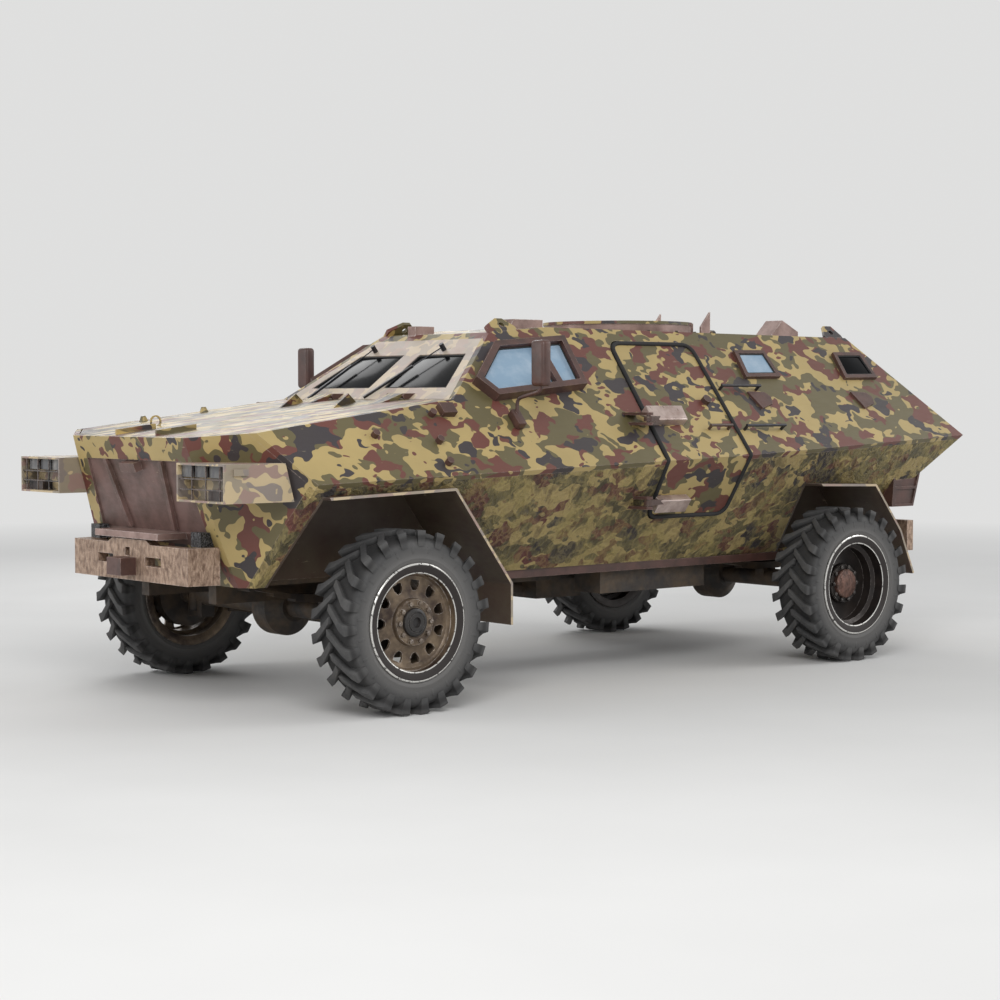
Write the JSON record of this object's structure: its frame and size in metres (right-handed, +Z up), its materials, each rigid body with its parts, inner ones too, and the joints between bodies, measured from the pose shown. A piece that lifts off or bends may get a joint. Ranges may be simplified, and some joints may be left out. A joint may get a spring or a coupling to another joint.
{
  "type": "four-wheel-drive armoured personnel vehicle",
  "caption": "Unarmed four-wheel-drive armoured personnel vehicle with a faceted hull, bent side doors, roof hatch and lug tyres, in camouflage.",
  "frame": {"origin": "on the ground under the middle of the overall box", "axes": "+X to the front, +Y to the left, +Z up"},
  "size_m": [5.545, 2.413, 2.146],
  "materials": {
    "hull_armour": "satin",
    "fittings_brown": "satin",
    "bumper_cast": "rough",
    "arch_sheet": "satin",
    "running_gear": "satin",
    "rim_paint": "satin",
    "tyre_rubber": "matte",
    "lamp_housing": "satin",
    "lamp_glass": "gloss",
    "window_glass": "gloss",
    "cushion_fabric": "matte",
    "cabin_frame": "satin",
    "dash_plastic": "matte"
  },
  "bodies": {
    "hull": {"hull_upper_side_left": "hull_armour", "hull_upper_side_right": "hull_armour", "hull_lower_side_left": "hull_armour", "hull_lower_side_right": "hull_armour", "hull_front": "hull_armour", "hull_floor": "hull_armour", "hull_roof": "hull_armour", "hull_windscreen_plate": "hull_armour", "hull_rear_upper": "hull_armour", "hull_rear_lower": "hull_armour", "engine_bulkhead": "hull_armour", "hatch_ring": "hull_armour", "lifting_eyes": "hull_armour", "roof_fittings": "hull_armour", "wheel_arches": "arch_sheet", "sills": "fittings_brown", "window_frames": "fittings_brown", "side_fittings": "fittings_brown", "grab_handles": "fittings_brown", "mirrors": "fittings_brown", "wipers": "fittings_brown", "hinge_brackets": "fittings_brown", "rear_boxes": "fittings_brown", "front_shelf": "fittings_brown", "tow_jaw_front": "fittings_brown", "tow_jaw_rear": "fittings_brown", "bumper_front": "bumper_cast", "bumper_rear": "bumper_cast", "front_axle": "running_gear", "rear_axle": "running_gear", "leaf_springs": "running_gear", "chassis_frame": "running_gear", "drive_line": "running_gear", "fuel_tanks": "running_gear", "engine_block": "running_gear", "lamp_pods": "lamp_housing", "lamp_glasses": "lamp_glass", "window_panes": "window_glass", "chair_and_bench_frames": "cabin_frame", "crew_cushions": "cushion_fabric", "dashboard": "dash_plastic"},
    "wheel_front_left": {"tyre_front_left": "tyre_rubber", "rim_front_left": "rim_paint"},
    "wheel_front_right": {"tyre_front_right": "tyre_rubber", "rim_front_right": "rim_paint"},
    "wheel_rear_left": {"tyre_rear_left": "tyre_rubber", "rim_rear_left": "rim_paint"},
    "wheel_rear_right": {"tyre_rear_right": "tyre_rubber", "rim_rear_right": "rim_paint"},
    "knuckle_left": {"knuckle_left": "running_gear"},
    "door_left": {"door_left": "hull_armour"},
    "knuckle_right": {"knuckle_right": "running_gear"},
    "door_right": {"door_right": "hull_armour"},
    "tie_rod": {"tie_rod": "running_gear"},
    "hatch_lid": {"hatch_lid": "hull_armour"},
    "rear_door": {"rear_door": "hull_armour"},
    "bonnet": {"bonnet": "hull_armour"}
  },
  "joints": [
    {"name": "steer_left", "type": "hinge", "parent": "hull", "child": "knuckle_left", "pos_m": [1.735, 0.875, 0.468], "axis": [0, 0, 1], "range_deg": [-28, 28]},
    {"name": "steer_right", "type": "hinge", "parent": "hull", "child": "knuckle_right", "pos_m": [1.735, -0.875, 0.468], "axis": [0, 0, 1], "range_deg": [-28, 28]},
    {"name": "tie_rod_pivot", "type": "hinge", "parent": "knuckle_left", "child": "tie_rod", "pos_m": [1.485, 0.875, 0.406], "axis": [0, 0, 1], "range_deg": [-28, 28]},
    {"name": "spin_front_left", "type": "hinge", "parent": "knuckle_left", "child": "wheel_front_left", "pos_m": [1.735, 1.064, 0.468], "axis": [0, 1, 0], "continuous": true},
    {"name": "spin_rear_left", "type": "hinge", "parent": "hull", "child": "wheel_rear_left", "pos_m": [-1.665, 1.064, 0.468], "axis": [0, 1, 0], "continuous": true},
    {"name": "spin_front_right", "type": "hinge", "parent": "knuckle_right", "child": "wheel_front_right", "pos_m": [1.735, -1.064, 0.468], "axis": [0, 1, 0], "continuous": true},
    {"name": "spin_rear_right", "type": "hinge", "parent": "hull", "child": "wheel_rear_right", "pos_m": [-1.665, -1.064, 0.468], "axis": [0, 1, 0], "continuous": true},
    {"name": "door_left_hinge", "type": "hinge", "parent": "hull", "child": "door_left", "pos_m": [-0.00998, 1.07, 1.25], "axis": [0, 0, 1], "range_deg": [-80, 0]},
    {"name": "door_right_hinge", "type": "hinge", "parent": "hull", "child": "door_right", "pos_m": [-0.00998, -1.07, 1.25], "axis": [0, 0, 1], "range_deg": [0, 80]},
    {"name": "hatch_lid_hinge", "type": "hinge", "parent": "hull", "child": "hatch_lid", "pos_m": [-1.263, 0, 2.05693], "axis": [0, -1, 0], "range_deg": [0, 130]},
    {"name": "rear_door_hinge", "type": "hinge", "parent": "hull", "child": "rear_door", "pos_m": [-2.34753, 0, 1.91683], "axis": [0, 1, 0], "range_deg": [0, 100]},
    {"name": "bonnet_hinge", "type": "hinge", "parent": "hull", "child": "bonnet", "pos_m": [1.203, 0, 1.61105], "axis": [0, -1, 0], "range_deg": [0, 55]}
  ],
  "couplings": [
    {"joint": "steer_right", "follows": "steer_left", "ratio": 1},
    {"joint": "tie_rod_pivot", "follows": "steer_left", "ratio": -1}
  ]
}
